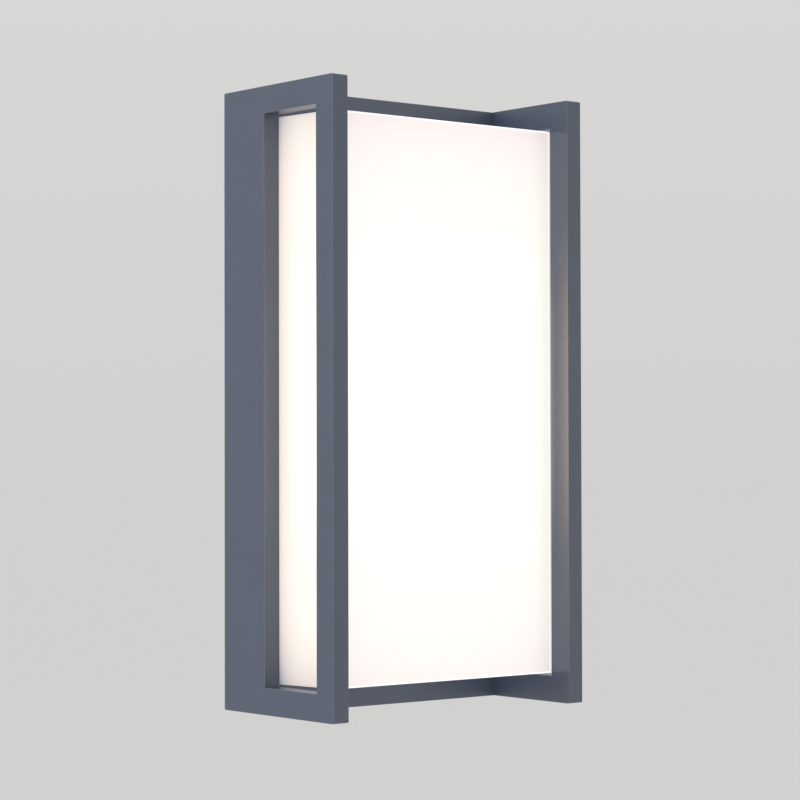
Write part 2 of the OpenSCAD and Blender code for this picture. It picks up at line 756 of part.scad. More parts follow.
mounting_bracket();
locking_screws();
bracket_earth_screw();
back_housing();
wall_gasket();
side_frame(-1);  // side_frame_left
side_frame(1);  // side_frame_right
frame_screws();
driver_case();
driver_lid();
driver_board();
driver_transformer();
driver_capacitors();
driver_screws();
terminal_block();
terminal_clamp_screws();
terminal_block_screws();
line_lead();
neutral_lead();
earth_lead();
earth_ring();
housing_earth_screw();
lead_grommet();
led_lead_positive();
led_lead_negative();
led_board();
led_chips();
led_connector();
reflector_sheet();
led_board_screws();
diffuser_gasket();
diffuser();
diffuser_screws();
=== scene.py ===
import json
import math
import bmesh
import bpy
from mathutils import Matrix, Vector


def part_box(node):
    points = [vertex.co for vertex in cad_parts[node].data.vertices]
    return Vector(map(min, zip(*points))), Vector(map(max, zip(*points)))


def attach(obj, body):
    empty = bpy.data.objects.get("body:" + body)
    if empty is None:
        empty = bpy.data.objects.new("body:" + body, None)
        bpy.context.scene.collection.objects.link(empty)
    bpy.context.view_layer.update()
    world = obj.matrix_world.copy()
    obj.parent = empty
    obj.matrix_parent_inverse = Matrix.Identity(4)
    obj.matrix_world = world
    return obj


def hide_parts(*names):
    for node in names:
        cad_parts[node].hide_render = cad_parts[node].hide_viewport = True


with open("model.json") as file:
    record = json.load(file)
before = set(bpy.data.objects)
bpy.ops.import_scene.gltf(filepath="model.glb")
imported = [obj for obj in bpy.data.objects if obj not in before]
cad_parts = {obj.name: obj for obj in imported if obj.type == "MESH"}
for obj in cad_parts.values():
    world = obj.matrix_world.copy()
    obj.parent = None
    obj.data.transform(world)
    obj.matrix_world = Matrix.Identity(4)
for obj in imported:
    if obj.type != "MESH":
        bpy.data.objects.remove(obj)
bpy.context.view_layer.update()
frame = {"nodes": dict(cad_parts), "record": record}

MM = 0.001
CAD = frame["nodes"]
BODY_OF = {n: body for body, names in frame["record"]["behaviour"]["bodies"].items() for n in names}
SLOT_OF = {row["node"]: row["material_slot"] for row in frame["record"]["subparts"]}
EASED_EDGE = "eased_edge"
SAME_POINT = 0.002 * MM
SAME_PLANE = 0.01 * MM
SHARP = math.radians(32)
# a wave texture of scale 1 repeats every 0.314 m
WAVE = 0.314


# ---------- camera, floor and light ----------

def make_camera():
    """Stands in front and to the left, a little below the middle of the lantern, looking slightly up."""
    stand = Vector((-0.79687, -1.01952, -0.02556))
    yaw, pitch, roll = 0.6829, 0.0208, -0.0022
    ahead = Vector((math.sin(yaw) * math.cos(pitch), math.cos(yaw) * math.cos(pitch), math.sin(pitch)))
    level = Vector((math.cos(yaw), -math.sin(yaw), 0))
    up = level.cross(ahead)
    right = math.cos(roll) * level + math.sin(roll) * up
    top = -math.sin(roll) * level + math.cos(roll) * up
    data = bpy.data.cameras.new("camera")
    data.sensor_width = 36
    data.lens = 113.08
    data.clip_start = 0.05
    data.clip_end = 100
    camera = bpy.data.objects.new("camera", data)
    place = Matrix((right, top, -ahead)).transposed().to_4x4()
    place.translation = stand
    camera.matrix_world = place
    bpy.context.scene.collection.objects.link(camera)
    bpy.context.scene.camera = camera


def linear(code):
    """A hex sRGB colour as linear red, green, blue and alpha."""
    parts = [int(code[i:i + 2], 16) / 255 for i in (1, 3, 5)]
    return [c / 12.92 if c <= 0.04045 else ((c + 0.055) / 1.055) ** 2.4 for c in parts] + [1.0]


def add(tree, kind, sockets=None, **settings):
    """Adds a node. sockets maps a socket's name or number to a value, to a node or to a node's output."""
    made = tree.nodes.new("ShaderNode" + kind)
    for name, value in settings.items():
        setattr(made, name, value)
    for name, value in (sockets or {}).items():
        if isinstance(value, bpy.types.Node):
            value = value.outputs[0]
        if isinstance(value, bpy.types.NodeSocket):
            tree.links.new(value, made.inputs[name])
        else:
            made.inputs[name].default_value = value
    return made


def start_material(name, colour, **shader):
    """A material with one Principled shader. Returns it with its node tree and the shader."""
    made = bpy.data.materials.new(name)
    made.use_nodes = True
    tree = made.node_tree
    surface = tree.nodes["Principled BSDF"]
    surface.inputs["Base Color"].default_value = linear(colour)
    for socket, value in shader.items():
        surface.inputs[socket.replace("_", " ")].default_value = value
    made.diffuse_color = linear(colour)
    return made, tree, surface


def make_stage():
    """A wide pale floor well below the lantern, a pale even sky, and large soft lights."""
    floor_z = -0.75
    mesh = bpy.data.meshes.new("floor")
    bm = bmesh.new()
    bmesh.ops.create_grid(bm, x_segments=1, y_segments=1, size=40)
    bmesh.ops.translate(bm, verts=bm.verts, vec=(0, 0, floor_z))
    bm.to_mesh(mesh)
    bm.free()
    floor = bpy.data.objects.new("floor", mesh)
    mesh.materials.append(start_material("pale_paper", "#f2f1ef", Roughness=0.9)[0])
    bpy.context.scene.collection.objects.link(floor)

    world = bpy.data.worlds.new("studio")
    world.use_nodes = True
    tree = world.node_tree
    # the sky is as bright at the horizon as the floor, so that no line shows between them
    horizon, zenith = (0.642, 0.636, 0.6235, 1), (0.72, 0.72, 0.72, 1)
    heading = add(tree, "SeparateXYZ", {0: add(tree, "TexCoord").outputs["Generated"]})
    height = add(tree, "MapRange", {0: heading.outputs["Z"], 1: 0.0, 2: 0.35, 3: 0.0, 4: 1.0})
    sky = add(tree, "Mix", {0: height, 6: horizon, 7: zenith}, data_type="RGBA")
    tree.links.new(sky.outputs[2], tree.nodes["Background"].inputs["Color"])
    bpy.context.scene.world = world

    for name, place, size, watts, colour in [
        ("left_softbox", (-1.2, 0.12, 0.25), 0.6, 3.8, "#eef4ff"),
        ("front_softbox", (1.3, -1.7, 0.0), 0.7, 0.4, "#ffffff"),
        ("top_softbox", (0.3, 0.4, 2.2), 1.8, 3, "#ffffff"),
    ]:
        data = bpy.data.lights.new(name, "AREA")
        data.shape = "SQUARE"
        data.size = size
        data.energy = watts
        data.color = linear(colour)[:3]
        light = bpy.data.objects.new(name, data)
        light.location = place
        light.rotation_euler = (-Vector(place)).to_track_quat("-Z", "Y").to_euler()
        bpy.context.scene.collection.objects.link(light)
    bpy.context.scene.view_settings.view_transform = "Standard"


# ---------- materials ----------

def grain(tree, surface, width, depth, shade=0.06, gloss=0.04):
    """Gives a shader an even grain, width and depth in millimetres. Its own colour and roughness follow the
    grain by the parts given in shade and gloss. Returns the node with the colour."""
    place = add(tree, "TexCoord").outputs["Object"]
    noise = add(tree, "TexNoise", {"Vector": place, "Scale": 1 / (width * MM), "Detail": 3.0,
                                   "Roughness": 0.6})
    light = add(tree, "MapRange", {0: noise, 1: 0.3, 2: 0.7, 3: 1 - shade, 4: 1 + shade})
    colour = surface.inputs["Base Color"].default_value[:3]
    tone = add(tree, "VectorMath", {0: colour, "Scale": light}, operation="SCALE")
    tree.links.new(tone.outputs[0], surface.inputs["Base Color"])
    middle = surface.inputs["Roughness"].default_value
    rough = add(tree, "MapRange", {0: noise, 1: 0.3, 2: 0.7, 3: middle - gloss, 4: middle + gloss})
    tree.links.new(rough.outputs[0], surface.inputs["Roughness"])
    bump = add(tree, "Bump", {"Height": noise, "Strength": 0.4, "Distance": depth * MM})
    tree.links.new(bump.outputs[0], surface.inputs["Normal"])
    return tone


def powder_coat():
    """Fine-texture polyester powder coat on cast aluminium: a satin film with a close even grain.
    A paler colour is painted on its rounded edges: a painted highlight, standing in for the light those
    edges catch."""
    made, tree, surface = start_material("anthracite_powder_coat", "#4a5467", Roughness=0.33, IOR=1.7)
    # the coat's grain is 0.3 mm wide; it is drawn at 0.8 mm, because 0.3 mm is too fine to show
    tone = grain(tree, surface, width=0.8, depth=0.05, shade=0.09, gloss=0.05)
    place = add(tree, "TexCoord").outputs["Object"]
    # the sprayed film is a little thicker here and thinner there, over about 30 mm
    cloud = add(tree, "TexNoise", {"Vector": place, "Scale": 1 / (30 * MM), "Detail": 2.0})
    drift = add(tree, "MapRange", {0: cloud, 1: 0.3, 2: 0.7, 3: 0.96, 4: 1.04})
    both = add(tree, "VectorMath", {0: tone, "Scale": drift}, operation="SCALE")
    # the rounded edges take a paler colour here: a painted highlight along them
    painted_highlight_edges = add(tree, "Attribute", attribute_name=EASED_EDGE)
    film = add(tree, "Mix", {0: painted_highlight_edges.outputs["Fac"], 6: both, 7: linear("#7b8896")}, data_type="RGBA")
    tree.links.new(film.outputs[2], surface.inputs["Base Color"])
    return made


def falling(tree, distance, reach):
    """A value that falls from 1 by a factor e over each reach of distance."""
    power = add(tree, "Math", {0: distance, 1: -reach}, operation="DIVIDE")
    return add(tree, "Math", {0: power}, operation="EXPONENT")


# The light on the diffuser's walls, as linear red, green and blue: what a wall starts from, and what each
# of its zones adds where that zone is strongest
SIDE_LIGHT = {"base": (0.96, 0.88, 0.8), "back": (-0.21, -0.3, -0.3), "ends": (-0.27, -0.27, -0.24),
              "back_corners": (-0.42, -0.2, -0.02), "middle": (0.85, 0.75, 0.62)}
FRONT_LIGHT = {"base": (0.91, 0.865, 0.83), "sides": (-0.1, -0.04, -0.1), "ends": (-0.07, -0.115, -0.09),
               "corners": (-0.06, -0.09, -0.03), "middle": (13.0, 7.0, 3.0)}
LEAST_LIGHT = (0.22, 0.22, 0.22)
RIM_LIGHT = (0.95, 0.96, 1.0, 1.0)
# how far the diffuser's edges are rounded, in millimetres
FRONT_EDGE = 0.4
# how strong the dimmer ends are at the lantern's foot and at its top
SIDE_ENDS = (1.12, 0.88)
FRONT_ENDS = (0.75, 1.1)


def wall_light(tree, light, weights):
    """The light of a wall: its base, and each of its zones by that zone's weight."""
    total = light["base"]
    for zone, weight in weights.items():
        total = add(tree, "VectorMath", {0: weight, 1: light[zone], 2: total}, operation="MULTIPLY_ADD")
    return total


def opal_polycarbonate():
    """Opal polycarbonate lit from behind: bright in the middle, warm beside the housing and dimmer to its
    edges, with a clear bright line round its front."""
    made, tree, surface = start_material("opal_polycarbonate", "#7d7a75", Roughness=0.3, IOR=1.58)
    low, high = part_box("diffuser")
    depth = (high.y - low.y) / MM
    front_corner = max((v.co for v in CAD["diffuser"].data.vertices if v.co.y < low.y + SAME_PLANE),
                       key=lambda c: c.x + c.z)
    axes = add(tree, "SeparateXYZ", {0: add(tree, "TexCoord").outputs["Object"]})

    # distances in millimetres: forward from the rim, and in from the leaning sides and ends
    forward = add(tree, "Math", {0: axes.outputs["Y"], 1: -1 / MM, 2: high.y / MM},
                  operation="MULTIPLY_ADD")
    insets = []
    for axis, rim, front in [("X", high.x, front_corner.x), ("Z", high.z, front_corner.z)]:
        out = add(tree, "Math", {0: axes.outputs[axis]}, operation="ABSOLUTE")
        inset = add(tree, "Math", {0: out, 1: -1 / MM, 2: rim / MM}, operation="MULTIPLY_ADD")
        lean = -(rim - front) / MM / depth
        insets.append(add(tree, "Math", {0: forward, 1: lean, 2: inset}, operation="MULTIPLY_ADD"))
    across, along = insets

    # side walls: warm near the housing, dimmer towards their ends
    foot, top = SIDE_ENDS
    share = add(tree, "MapRange", {0: axes.outputs["Z"], 1: low.z, 2: high.z, 3: foot, 4: top})
    ends = add(tree, "Math", {0: falling(tree, along, 20.0), 1: share}, operation="MULTIPLY")
    back = falling(tree, forward, 6.5)
    corners = add(tree, "Math", {0: ends, 1: back}, operation="MULTIPLY")
    mid_height = add(tree, "MapRange", {0: along, 1: 55.0, 2: 110.0}, interpolation_type="SMOOTHSTEP")
    mid_depth = add(tree, "MapRange", {0: forward, 1: 15.0, 2: 25.0}, interpolation_type="SMOOTHSTEP")
    middle = add(tree, "Math", {0: mid_height, 1: mid_depth}, operation="MULTIPLY")
    side = wall_light(tree, SIDE_LIGHT,
                      {"back": back, "ends": ends, "back_corners": corners, "middle": middle})
    side = add(tree, "VectorMath", {0: side, 1: LEAST_LIGHT}, operation="MAXIMUM")

    # front: a little dimmer at its edges and corners, and far brighter in the middle
    foot, top = FRONT_ENDS
    share = add(tree, "MapRange", {0: axes.outputs["Z"], 1: low.z, 2: high.z, 3: foot, 4: top})
    ends = add(tree, "Math", {0: falling(tree, along, 23.0), 1: share}, operation="MULTIPLY")
    sides = falling(tree, across, 7.0)
    corners = add(tree, "Math", {0: falling(tree, across, 20.0), 1: falling(tree, along, 30.0)},
                  operation="MULTIPLY")
    mid_height = add(tree, "MapRange", {0: along, 1: 50.0, 2: 110.0}, interpolation_type="SMOOTHSTEP")
    mid_width = add(tree, "MapRange", {0: across, 1: 5.0, 2: 45.0}, interpolation_type="SMOOTHSTEP")
    middle = add(tree, "Math", {0: mid_height, 1: mid_width}, operation="MULTIPLY")
    front = wall_light(tree, FRONT_LIGHT,
                       {"sides": sides, "ends": ends, "corners": corners, "middle": middle})

    # the side walls' light turns into the front's round the front edge
    near_front = add(tree, "MapRange", {0: forward, 1: depth - 1.4, 2: depth - FRONT_EDGE})
    face = add(tree, "Mix", {0: near_front, 6: side, 7: front}, data_type="RGBA")
    # the rim of the front carries light like a pipe, as a thin bright line
    nearest = add(tree, "Math", {0: across, 1: along}, operation="MINIMUM")
    line = add(tree, "MapRange", {0: nearest, 1: 0.35, 2: 0.75, 3: 1.0, 4: 0.0})
    rim_line = add(tree, "Math", {0: line, 1: near_front}, operation="MULTIPLY")
    rim = add(tree, "Mix", {0: rim_line, 6: face.outputs[2], 7: RIM_LIGHT}, data_type="RGBA")
    tree.links.new(rim.outputs[2], surface.inputs["Emission Color"])
    surface.inputs["Emission Strength"].default_value = 1.0
    return made


def galvanised_sheet():
    """Hot-dip galvanised steel sheet: grey crystals of zinc, each with a slightly different shine."""
    made, tree, surface = start_material("galvanised_steel_sheet", "#a9aeb1", Metallic=1.0, Roughness=0.42)
    place = add(tree, "TexCoord").outputs["Object"]
    # the zinc crystals are 7 mm across
    crystals = add(tree, "TexVoronoi", {"Vector": place, "Scale": 1 / (7 * MM)})
    shine = add(tree, "SeparateColor", {0: crystals.outputs["Color"]})
    light = add(tree, "MapRange", {0: shine, 1: 0.0, 2: 1.0, 3: 0.91, 4: 1.08})
    tone = add(tree, "VectorMath", {0: linear("#a9aeb1")[:3], "Scale": light}, operation="SCALE")
    tree.links.new(tone.outputs[0], surface.inputs["Base Color"])
    rough = add(tree, "MapRange", {0: shine.outputs[1], 1: 0.0, 2: 1.0, 3: 0.33, 4: 0.52})
    tree.links.new(rough.outputs[0], surface.inputs["Roughness"])
    feathers = add(tree, "TexNoise", {"Vector": place, "Scale": 1 / (1.2 * MM), "Detail": 4.0})
    bump = add(tree, "Bump", {"Height": feathers, "Strength": 0.25, "Distance": 0.03 * MM})
    tree.links.new(bump.outputs[0], surface.inputs["Normal"])
    return made


def zinc_plate():
    """Bright zinc-plated steel: silver with a faint blue and straw bloom from its passivation."""
    made, tree, surface = start_material("zinc_plated_steel", "#c0c4c8", Metallic=1.0, Roughness=0.3)
    place = add(tree, "TexCoord").outputs["Object"]
    bloom = add(tree, "TexNoise", {"Vector": place, "Scale": 1 / (4 * MM), "Detail": 2.0})
    share = add(tree, "MapRange", {0: bloom, 1: 0.35, 2: 0.65})
    tint = add(tree, "Mix", {0: share, 6: linear("#b9c3d2"), 7: linear("#ccc8b4")}, data_type="RGBA")
    tree.links.new(tint.outputs[2], surface.inputs["Base Color"])
    rough = add(tree, "MapRange", {0: bloom, 1: 0.3, 2: 0.7, 3: 0.24, 4: 0.36})
    tree.links.new(rough.outputs[0], surface.inputs["Roughness"])
    return made


def green_passivate():
    """Green-passivated zinc on an earth screw: a metallic leaf green."""
    made, tree, surface = start_material("green_passivated_steel", "#3f9a58", Metallic=1.0, Roughness=0.34)
    grain(tree, surface, width=1.5, depth=0.01, shade=0.16, gloss=0.06)
    return made


def tinned_copper():
    """Electro-tinned copper: soft, warm white metal with dull patches."""
    made, tree, surface = start_material("tinned_copper", "#c8c4bb", Metallic=1.0, Roughness=0.36)
    grain(tree, surface, width=1.2, depth=0.01, shade=0.1, gloss=0.08)
    return made


def epdm_foam():
    """Closed-cell EPDM foam: dull black with small round pores, each with painted shade darkening its
    hollow.
    """
    made, tree, surface = start_material("epdm_foam", "#2a2a2c", Roughness=0.92)
    place = add(tree, "TexCoord").outputs["Object"]
    # the pores are 0.4 mm; they are drawn at 0.9 mm to show
    pores = add(tree, "TexVoronoi", {"Vector": place, "Scale": 1 / (0.9 * MM)})
    # each pore is drawn darker towards its middle: painted shade in its hollow
    light = add(tree, "MapRange", {0: pores, 1: 0.0, 2: 0.5, 3: 0.55, 4: 1.15})
    tone = add(tree, "VectorMath", {0: linear("#2a2a2c")[:3], "Scale": light}, operation="SCALE")
    tree.links.new(tone.outputs[0], surface.inputs["Base Color"])
    bump = add(tree, "Bump", {"Height": pores, "Strength": 0.8, "Distance": 0.15 * MM})
    tree.links.new(bump.outputs[0], surface.inputs["Normal"])
    return made


def black_rubber():
    """Moulded rubber: soft black with a faint bloom."""
    made, tree, surface = start_material("moulded_rubber", "#232325", Roughness=0.6)
    grain(tree, surface, width=1.0, depth=0.02, shade=0.15, gloss=0.08)
    return made


def silicone():
    """Cast silicone rubber: milky grey, a little see-through at thin edges."""
    made, tree, surface = start_material("silicone_rubber", "#d6d6d0", Roughness=0.48,
                                         Subsurface_Weight=0.25, Subsurface_Scale=0.002)
    grain(tree, surface, width=2.0, depth=0.02, shade=0.04, gloss=0.06)
    return made


def moulded_pbt():
    """Injection-moulded PBT: neutral white with a fine spark-eroded texture."""
    made, tree, surface = start_material("white_pbt", "#e8e8e5", Roughness=0.5, IOR=1.55)
    # the tool's texture is 0.15 mm; it is drawn at 0.5 mm to show
    grain(tree, surface, width=0.5, depth=0.03, shade=0.03, gloss=0.06)
    return made


def natural_nylon():
    """Natural polyamide: creamy, slightly see-through and glossier than the white casings."""
    made, tree, surface = start_material("natural_nylon", "#eae6da", Roughness=0.36, IOR=1.53,
                                         Subsurface_Weight=0.2, Subsurface_Scale=0.0015)
    grain(tree, surface, width=1.6, depth=0.015, shade=0.03, gloss=0.05)
    return made


def white_solder_mask():
    """White solder mask over copper on an aluminium-core board: tracks show as faint raised bands."""
    made, tree, surface = start_material("white_solder_mask", "#f1f1ee", Roughness=0.32)
    place = add(tree, "TexCoord").outputs["Object"]
    # copper lands 27 mm apart, each side of a row of chips
    tracks = add(tree, "TexWave", {"Vector": place, "Scale": WAVE / (27 * MM), "Distortion": 0.0},
                 bands_direction="Z", wave_profile="SIN")
    edge = add(tree, "MapRange", {0: tracks.outputs["Fac"], 1: 0.42, 2: 0.5})
    tint = add(tree, "Mix", {0: edge, 6: linear("#e4e4df"), 7: linear("#f4f4f2")}, data_type="RGBA")
    tree.links.new(tint.outputs[2], surface.inputs["Base Color"])
    bump = add(tree, "Bump", {"Height": edge, "Strength": 0.5, "Distance": 0.04 * MM})
    tree.links.new(bump.outputs[0], surface.inputs["Normal"])
    return made


def reflector_film():
    """Foamed white polyester film: very white and satin, with a faint ripple from cutting."""
    made, tree, surface = start_material("white_reflector_film", "#f7f7f4", Roughness=0.45)
    grain(tree, surface, width=9.0, depth=0.1, shade=0.015, gloss=0.05)
    return made


def phosphor():
    """Phosphor in clear silicone over the chip: yellow, and lit from inside."""
    made, tree, surface = start_material("phosphor_silicone", "#f2cf4a", Roughness=0.25, IOR=1.42)
    grain(tree, surface, width=0.4, depth=0.02, shade=0.08, gloss=0.05)
    surface.inputs["Emission Color"].default_value = linear("#ffe2a0")
    surface.inputs["Emission Strength"].default_value = 2.2
    return made


def glass_epoxy():
    """Green solder mask on glass-epoxy board: the weave of the glass shows faintly through it."""
    made, tree, surface = start_material("glass_epoxy_board", "#1d6a41", Roughness=0.34)
    place = add(tree, "TexCoord").outputs["Object"]
    # the glass cloth has a thread every 0.5 mm, drawn every 1 mm to show
    warp = add(tree, "TexWave", {"Vector": place, "Scale": WAVE / (1 * MM)}, bands_direction="X")
    weft = add(tree, "TexWave", {"Vector": place, "Scale": WAVE / (1 * MM)}, bands_direction="Z")
    weave = add(tree, "Math", {0: warp.outputs["Fac"], 1: weft.outputs["Fac"]}, operation="MULTIPLY")
    tint = add(tree, "Mix", {0: weave, 6: linear("#185c38"), 7: linear("#247a4c")}, data_type="RGBA")
    tree.links.new(tint.outputs[2], surface.inputs["Base Color"])
    bump = add(tree, "Bump", {"Height": weave, "Strength": 0.3, "Distance": 0.02 * MM})
    tree.links.new(bump.outputs[0], surface.inputs["Normal"])
    return made


def winding_tape():
    """Yellow polyester tape wound round a transformer: glossy, with the edge of each turn showing."""
    made, tree, surface = start_material("yellow_winding_tape", "#d8b23c", Roughness=0.28)
    place = add(tree, "TexCoord").outputs["Object"]
    turns = add(tree, "TexWave", {"Vector": place, "Scale": WAVE / (3 * MM), "Distortion": 0.6},
                bands_direction="Z", wave_profile="SAW")
    tint = add(tree, "Mix", {0: turns.outputs["Fac"], 6: linear("#cfa632"), 7: linear("#e2c157")},
               data_type="RGBA")
    tree.links.new(tint.outputs[2], surface.inputs["Base Color"])
    bump = add(tree, "Bump", {"Height": turns.outputs["Fac"], "Strength": 0.5, "Distance": 0.06 * MM})
    tree.links.new(bump.outputs[0], surface.inputs["Normal"])
    return made


def shrunk_sleeve():
    """PVC sleeve shrunk on a capacitor: dark and glossy, with fine drawn lines."""
    made, tree, surface = start_material("shrunk_pvc_sleeve", "#262a33", Roughness=0.3)
    grain(tree, surface, width=1.4, depth=0.02, shade=0.12, gloss=0.06)
    return made


def pvc_lead(name, colour):
    """Extruded PVC insulation: smooth, slightly waxy, with faint drag lines."""
    made, tree, surface = start_material(name, colour, Roughness=0.38, IOR=1.53)
    grain(tree, surface, width=2.5, depth=0.02, shade=0.08, gloss=0.06)
    return made


# ---------- shapes ----------

def finished(bm, name, crease=40):
    """The mesh of a bmesh: faces smooth, edges over crease degrees sharp."""
    for face in bm.faces:
        face.smooth = True
    for line in bm.edges:
        line.smooth = len(line.link_faces) == 2 and line.calc_face_angle(0) < math.radians(crease)
    mesh = bpy.data.meshes.new(name)
    bm.to_mesh(mesh)
    bm.free()
    return mesh


def show(mesh, name, body, material, replaced):
    """Makes an object of the mesh with a material. It rides on a body in place of some CAD nodes."""
    made = bpy.data.objects.new(name, mesh)
    bpy.context.scene.collection.objects.link(made)
    mesh.materials.append(material)
    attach(made, body)
    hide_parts(*replaced)
    return made


def even_shading(made):
    """Lets the large faces of an eased piece stay flat to the eye, up to its rounded edges."""
    weigh = made.modifiers.new("even_shading", "WEIGHTED_NORMAL")
    weigh.keep_sharp = True


def merged_copy(node):
    """A CAD node as a bmesh of joined faces."""
    bm = bmesh.new()
    bm.from_mesh(CAD[node].data)
    bm.faces.layers.float.new(EASED_EDGE)
    bmesh.ops.remove_doubles(bm, verts=bm.verts, dist=SAME_POINT)
    bmesh.ops.dissolve_limit(bm, angle_limit=math.radians(0.6), verts=bm.verts, edges=bm.edges)
    return bm


def ease(bm, edges, width, segments=3):
    """Rounds some edges by width millimetres, and marks the new faces as an eased edge."""
    mark = bm.faces.layers.float.get(EASED_EDGE)
    made = bmesh.ops.bevel(bm, geom=edges, offset=width * MM, segments=segments, profile=0.5,
                           affect="EDGES", material=-1, clamp_overlap=True)
    if mark:
        for face in made["faces"]:
            face[mark] = 1.0


def outer_edges(bm, least=0.0):
    """The convex sharp edges that are longer than least millimetres."""
    return [e for e in bm.edges if len(e.link_faces) == 2 and e.calc_face_angle() > SHARP
            and e.is_convex and e.calc_length() > least * MM]


def eased(node, material, width, segments=3, least=0.0):
    """A copy of a CAD node with its sharp edges rounded by width millimetres, in place of the node."""
    bm = merged_copy(node)
    ease(bm, outer_edges(bm, least), width, segments)
    mesh = finished(bm, node)
    made = show(mesh, node + "_finished", BODY_OF[node], material, [node])
    even_shading(made)


def solids_of(node):
    """The lowest and highest corner of each separate solid in a CAD node."""
    bm = bmesh.new()
    bm.from_mesh(CAD[node].data)
    bmesh.ops.remove_doubles(bm, verts=bm.verts, dist=SAME_POINT)
    waiting = set(bm.verts)
    boxes = []
    while waiting:
        group = [waiting.pop()]
        for point in group:
            for line in point.link_edges:
                other = line.other_vert(point)
                if other in waiting:
                    waiting.remove(other)
                    group.append(other)
        low = Vector([min(p.co[i] for p in group) for i in range(3)])
        high = Vector([max(p.co[i] for p in group) for i in range(3)])
        boxes.append((low, high))
    bm.free()
    return sorted(boxes, key=lambda b: [round(c, 5) for c in b[0]])


def repeated(single, places, name):
    """One mesh that holds a shape at each place. A place is a matrix."""
    pattern = bpy.data.meshes.new(name + "_pattern")
    single.to_mesh(pattern)
    single.free()
    whole = bmesh.new()
    for place in places:
        before = len(whole.verts)
        whole.from_mesh(pattern)
        whole.verts.ensure_lookup_table()
        bmesh.ops.transform(whole, matrix=place, verts=whole.verts[before:])
    bpy.data.meshes.remove(pattern)
    return finished(whole, name)


# ---------- screws ----------

def add_thread(bm, radius, pitch, length, taper):
    """A screw thread down from z = 0, cut level at both ends. Its tip narrows over a length of taper."""
    around = 16
    turns = math.ceil(length / pitch) + 2
    root = radius - 0.55 * pitch
    tip = 0.6 * radius
    start = -length - pitch
    outline = [(root, start), (root, start + 0.25 * pitch), (radius, start + 0.55 * pitch),
               (radius, start + 0.7 * pitch), (root, start + pitch)]
    points = [bm.verts.new((r, 0, z)) for r, z in outline]
    lines = [bm.edges.new(pair) for pair in zip(points, points[1:])]
    bmesh.ops.spin(bm, geom=points + lines, cent=(0, 0, 0), axis=(0, 0, 1), dvec=(0, 0, pitch / around),
                   angle=math.tau * turns, steps=around * turns, use_merge=False)
    bmesh.ops.remove_doubles(bm, verts=bm.verts, dist=0.01 * pitch)
    for point in bm.verts:
        wide = math.hypot(point.co.x, point.co.y)
        allowed = tip + max(point.co.z + length, 0) * (radius - tip) / taper
        if wide > allowed:
            point.co.x *= allowed / wide
            point.co.y *= allowed / wide
    for level, side in [(0.0, 1), (-length, -1)]:
        everything = bm.verts[:] + bm.edges[:] + bm.faces[:]
        cut = bmesh.ops.bisect_plane(bm, geom=everything, plane_co=(0, 0, level), plane_no=(0, 0, side),
                                     clear_outer=True)
        ring = [e for e in cut["geom_cut"] if isinstance(e, bmesh.types.BMEdge)]
        bmesh.ops.edgeloop_fill(bm, edges=ring)
    bmesh.ops.recalc_face_normals(bm, faces=bm.faces)


def add_head(bm, radius, height, key):
    """A pan head on z = 0 with a rounded top and a six-sided recess for a key, as wide as key."""
    sides = 24
    face_angle = math.tau / 6
    made = bmesh.ops.create_cone(bm, cap_ends=True, segments=sides, radius1=radius, radius2=radius,
                                 depth=height)
    bmesh.ops.translate(bm, verts=made["verts"], vec=(0, 0, height / 2))
    top = max({f for v in made["verts"] for f in v.link_faces}, key=lambda f: f.calc_center_median().z)
    ease(bm, list(top.edges), 0.42 * height / MM, segments=4)
    top = max(bm.faces, key=lambda f: f.calc_center_median().z)
    bmesh.ops.inset_individual(bm, faces=[top], thickness=0.08 * radius)
    for corner in top.verts:
        turn = math.atan2(corner.co.y, corner.co.x) % face_angle
        reach = key / 2 / math.cos(turn - face_angle / 2)
        wide = math.hypot(corner.co.x, corner.co.y)
        corner.co.x *= reach / wide
        corner.co.y *= reach / wide
    bmesh.ops.inset_individual(bm, faces=[top], thickness=0.0, depth=-0.6 * height)


# each set of screws: which way the head points from the thread, then head height, key width,
# thread radius and pitch in millimetres
SCREWS = {
    "locking_screws": ("down", 2.6, 2.5, 2.0, 0.7),
    "bracket_earth_screw": ("forward", 2.4, 2.5, 2.0, 0.7),
    "housing_earth_screw": ("back", 2.4, 2.5, 2.0, 0.7),
    "frame_screws": ("inward", 2.4, 2.5, 2.0, 0.7),
    "driver_screws": ("back", 2.0, 2.0, 1.5, 0.5),
    "terminal_block_screws": ("back", 2.0, 2.0, 1.5, 0.5),
    "led_board_screws": ("forward", 2.0, 2.0, 1.5, 0.5),
    "diffuser_screws": ("back", 2.0, 2.0, 1.45, 1.1),
}
WAYS = {"down": Vector((0, 0, -1)), "forward": Vector((0, -1, 0)), "back": Vector((0, 1, 0))}


def screws(node, material):
    """Pan-head screws with rolled threads, one for each solid of a CAD node."""
    way, head_h, key, radius, pitch = SCREWS[node]
    places = []
    for low, high in solids_of(node):
        middle = (low + high) / 2
        out = WAYS.get(way) or Vector((-math.copysign(1, middle.x), 0, 0))
        length = abs((high - low).dot(out))
        wide = max((high - low)[i] for i in range(3) if abs(out[i]) < 0.5)
        seat = middle + out * (length / 2 - head_h * MM)
        places.append(Matrix.Translation(seat) @ out.to_track_quat("Z", "Y").to_matrix().to_4x4())
    single = bmesh.new()
    add_thread(single, radius * MM, pitch * MM, length - head_h * MM, taper=1.5 * MM)
    add_head(single, wide / 2, head_h * MM, key * MM)
    mesh = repeated(single, places, node)
    show(mesh, node + "_threaded", BODY_OF[node], material, [node])


# ---------- pieces with more shape than their CAD solid ----------

